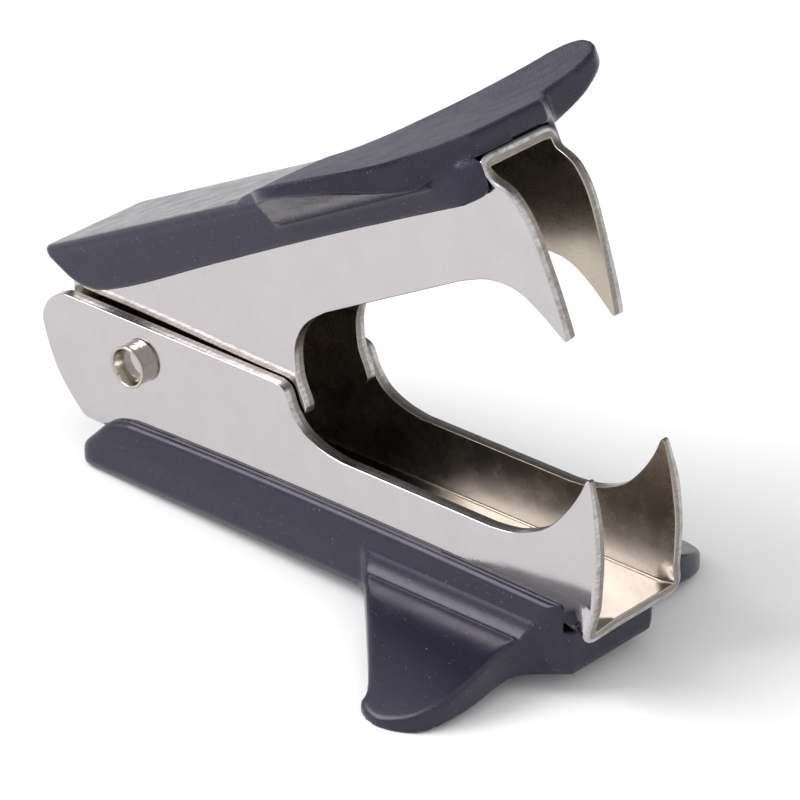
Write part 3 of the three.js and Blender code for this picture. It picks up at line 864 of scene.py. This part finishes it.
def spring_path():
    """The wire's middle line: a leg along the lower plate, the coil, a leg along the upper plate."""
    low = np.array([LEG_REACH, -COIL_HALF, -(LOWER_JAW["plate"] - SHEET) + WIRE_R + WIRE_GAP])
    rise = UPPER_JAW["plate"] - SHEET - WIRE_R - WIRE_GAP
    cos, sin = math.cos(OPEN), math.sin(OPEN)
    up = np.array([LEG_REACH * cos - rise * sin, COIL_HALF, LEG_REACH * sin + rise * cos])

    def tangent_angle(end, side):
        return math.atan2(end[2], end[0]) + side * math.acos(COIL_R / math.hypot(end[0], end[2]))

    start, finish = tangent_angle(low, -1), tangent_angle(up, 1)
    while finish > start - 2 * math.pi * (COIL_TURNS - 0.5):
        finish -= 2 * math.pi
    share = np.linspace(0, 1, 300)
    angle = start + (finish - start) * share
    coil = np.stack([COIL_R * np.cos(angle), COIL_HALF * (2 * share - 1), COIL_R * np.sin(angle)], 1)
    legs = np.linspace(0, 0.97, 24)[:, None]
    return np.vstack([low + (coil[0] - low) * legs, coil, (up + (coil[-1] - up) * legs)[::-1]])


def make_spring():
    """Torsion spring: round wire swept along its path, with its two ends slightly chamfered."""
    path = spring_path()
    tangents = np.gradient(path, axis=0)
    tangents /= np.linalg.norm(tangents, axis=1, keepdims=True)
    across = np.array([0.0, 1.0, 0.0])
    side = across - tangents * (tangents @ across)[:, None]
    side /= np.linalg.norm(side, axis=1, keepdims=True)
    other = np.cross(tangents, side)
    n, k = len(path), WIRE_SIDES
    turn = np.linspace(0, 2 * math.pi, k, endpoint=False)
    radii = np.full(n, WIRE_R)
    radii[0] = radii[-1] = WIRE_R * 0.6
    rings = []
    for p, s, u, r in zip(path, side, other, radii):
        rings.append(p + r * (np.cos(turn)[:, None] * s + np.sin(turn)[:, None] * u))
    verts = np.vstack(rings + [path[:1], path[-1:]])
    faces = []
    for i in range(n - 1):
        for j in range(k):
            m = (j + 1) % k
            faces.append((i * k + j, (i + 1) * k + j, (i + 1) * k + m, i * k + m))
    for j in range(k):
        m = (j + 1) % k
        faces.append((n * k, j, m))
        faces.append((n * k + 1, (n - 1) * k + m, (n - 1) * k + j))
    pos, _ = transformed(STANCE @ Matrix.Scale(MM, 4), verts, verts)
    obj = new_object("spring_coil", pos, faces, None, (spring_steel,))
    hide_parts("torsion_spring")
    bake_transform(obj)


make_rivet()
make_spring()

# ---------------------------------------------------------------- studio, in metres

FLOOR_HALF = 3.0
# a white room with one darker quarter, high up beyond the tool's far side and its rear
DARK_QUARTER = Vector((-0.35, 0.80, 0.48)).normalized()
ROOM_LIGHT, DARK_LIGHT = 1.38, 0.26
KEY_AT, KEY_AIM = (-0.52, -0.52, 0.74), (0.03, 0, 0.01)
KEY_SIZE, KEY_POWER = (0.62, 0.75), 8.6
# the camera's place from the pivot, in the frame that is pitched with the lower jaw
AZIMUTH, ELEVATION = math.radians(41.59), math.radians(27.79)
DISTANCE = 0.41106
AIM = Vector((24.98, 0, 3.03)) * MM
SENSOR, LENS = 36.0, 225.126


def make_floor():
    material, tree, shader = nodes_of("floor_paper")
    shade = noise(tree, coords(tree, 1.0), scale=2.0, detail=2.0)
    paper = mix_color(tree, shade, (0.90, 0.90, 0.905), (0.92, 0.92, 0.925))
    tree.links.new(paper, shader.inputs["Base Color"])
    shader.inputs["Roughness"].default_value = 0.75
    verts = [(FLOOR_HALF * i, FLOOR_HALF * j, 0) for i, j in ((-1, -1), (1, -1), (1, 1), (-1, 1))]
    new_object("floor", verts, [(0, 1, 2, 3)], None, (material,))


def make_world():
    world = bpy.data.worlds.new("studio")
    bpy.context.scene.world = world
    world.use_nodes = True
    tree = world.node_tree
    tree.nodes.clear()
    out = tree.nodes.new("ShaderNodeOutputWorld")
    back = tree.nodes.new("ShaderNodeBackground")
    toward = tree.nodes.new("ShaderNodeVectorMath")
    toward.operation = "DOT_PRODUCT"
    toward.inputs[1].default_value = DARK_QUARTER
    direction = tree.nodes.new("ShaderNodeTexCoord")
    tree.links.new(direction.outputs["Generated"], toward.inputs[0])
    light = ramp(tree, toward.outputs["Value"], 0.50, 0.85, ROOM_LIGHT, DARK_LIGHT)
    tree.links.new(light, back.inputs[1])
    tree.links.new(back.outputs[0], out.inputs[0])


def make_camera():
    flat = math.cos(ELEVATION)
    back = Vector((math.sin(AZIMUTH) * flat, -math.cos(AZIMUTH) * flat, math.sin(ELEVATION)))
    right = Vector((math.cos(AZIMUTH), math.sin(AZIMUTH), 0))
    view = Matrix((right, back.cross(right), back)).transposed().to_4x4()
    view.translation = AIM + back * DISTANCE
    data = bpy.data.cameras.new("camera")
    data.sensor_width = SENSOR
    data.lens = LENS
    data.clip_start = 0.01
    camera = bpy.data.objects.new("camera", data)
    bpy.context.scene.collection.objects.link(camera)
    camera.matrix_world = STANCE @ view
    bpy.context.scene.camera = camera


def make_key_light():
    light = bpy.data.lights.new("key", "AREA")
    light.shape = "RECTANGLE"
    light.size, light.size_y = KEY_SIZE
    light.energy = KEY_POWER
    obj = bpy.data.objects.new("key", light)
    obj.location = KEY_AT
    obj.rotation_euler = (Vector(KEY_AIM) - Vector(KEY_AT)).to_track_quat("-Z", "Y").to_euler()
    bpy.context.scene.collection.objects.link(obj)


make_floor()
make_world()
make_camera()
make_key_light()
bpy.context.scene.view_settings.view_transform = "Standard"
